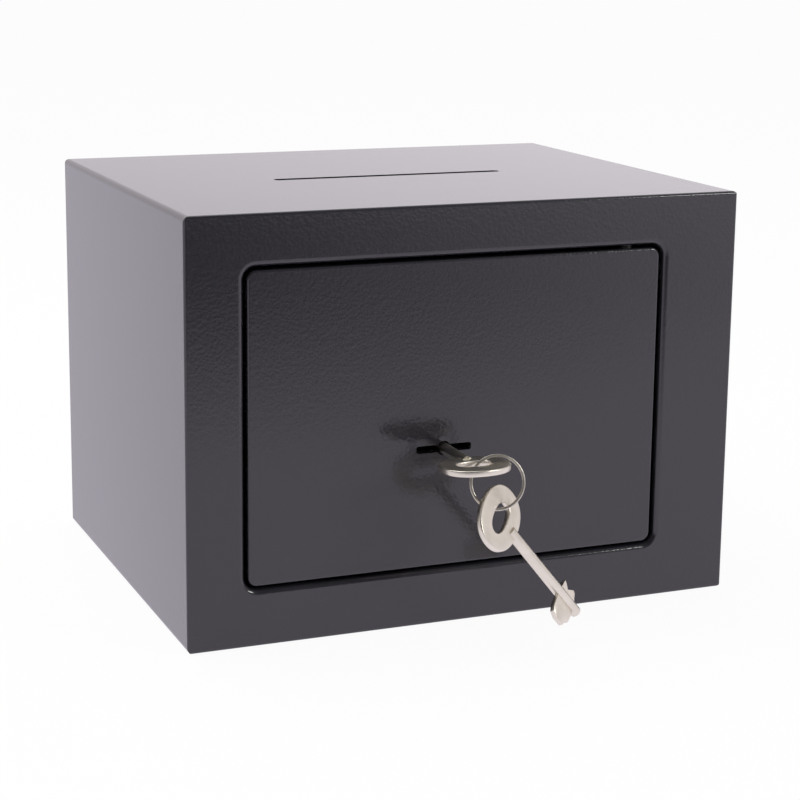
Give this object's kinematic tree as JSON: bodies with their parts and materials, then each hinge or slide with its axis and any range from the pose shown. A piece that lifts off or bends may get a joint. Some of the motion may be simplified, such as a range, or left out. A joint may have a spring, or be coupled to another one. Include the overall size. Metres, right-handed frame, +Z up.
{
  "type": "deposit_safe",
  "caption": "Small key-locked deposit safe with a coin and note slot in its top, a flush hinged door, a lever lock with round bolts, and a spare key hung on the key in the lock.",
  "frame": {"origin": "centre of the case's underside", "axes": "+X right, +Y back, +Z up, seen from the door side"},
  "size_m": [0.25, 0.2485, 0.18],
  "materials": {
    "powder_coat": "satin, fine leather texture",
    "inner_coat": "satin",
    "felt": "short pile",
    "zinc": "zinc plated",
    "brass": "stamped",
    "bright_steel": "turned",
    "nickel": "satin nickel plate"
  },
  "bodies": {
    "cabinet": {"case_wrap": "powder_coat", "back_panel": "powder_coat", "front_frame": "powder_coat", "slot_guard": "inner_coat", "floor_mat": "felt", "bolt_keeper": "zinc", "hinge_bracket_upper": "zinc", "hinge_bracket_lower": "zinc", "hinge_pin_upper": "zinc", "hinge_pin_lower": "zinc", "hinge_washer": "brass"},
    "door": {"door_plate": "powder_coat", "hinge_lug_upper": "inner_coat", "hinge_lug_lower": "inner_coat", "bolt_guide_upper": "zinc", "bolt_guide_lower": "zinc", "tray_posts": "zinc", "door_tray": "inner_coat", "tray_screws": "zinc", "lock_spacers": "zinc", "lock_case": "zinc", "lock_cover": "zinc", "lock_screws": "zinc", "lever_post": "zinc", "lever_spring": "bright_steel"},
    "curtain": {"key_curtain": "brass"},
    "key": {"lock_key": "nickel"},
    "ring": {"key_ring": "nickel"},
    "spare": {"spare_key": "nickel"},
    "boltwork": {"bolt_carrier": "zinc", "live_bolt_upper": "bright_steel", "live_bolt_lower": "bright_steel", "bolt_screws": "zinc", "lock_bolt": "zinc", "bolt_stump": "bright_steel"},
    "levers": {"lock_lever_1": "brass", "lock_lever_2": "brass", "lock_lever_3": "brass", "lock_lever_4": "brass", "lock_lever_5": "brass"}
  },
  "joints": [
    {"name": "door_swing", "type": "hinge", "parent": "cabinet", "child": "door", "pos_m": [0.0753, -0.091, 0.09], "axis": [0, 0, 1], "range_deg": [0, 100]},
    {"name": "key_turn", "type": "hinge", "parent": "door", "child": "curtain", "pos_m": [-0.01275, -0.095, 0.077], "axis": [0, 1, 0], "range_deg": [0, 180]},
    {"name": "key_pull", "type": "slide", "parent": "curtain", "child": "key", "axis": [0, -1, 0], "range_m": [0, 0.04]},
    {"name": "ring_hang", "type": "hinge", "parent": "key", "child": "ring", "pos_m": [-0.00271, -0.1332, 0.07626], "axis": [0, 1, 0], "range_deg": [-180, 0]},
    {"name": "spare_swing", "type": "hinge", "parent": "ring", "child": "spare", "pos_m": [-0.00383, -0.13558, 0.0592], "axis": [0.9794, -0.2019, 0], "range_deg": [-15, 15]},
    {"name": "bolt_slide", "type": "slide", "parent": "door", "child": "boltwork", "axis": [-1, 0, 0], "range_m": [0, 0.014]},
    {"name": "lever_lift", "type": "hinge", "parent": "door", "child": "levers", "pos_m": [0.00405, -0.081, 0.1], "axis": [0, 1, 0], "range_deg": [0, 5], "deforming": ["lever_spring"]}
  ],
  "couplings": [
    {"joint": "key_turn", "follows": "bolt_slide", "rad_per_m": 224.4},
    {"joint": "ring_hang", "follows": "bolt_slide", "rad_per_m": -224.4}
  ]
}
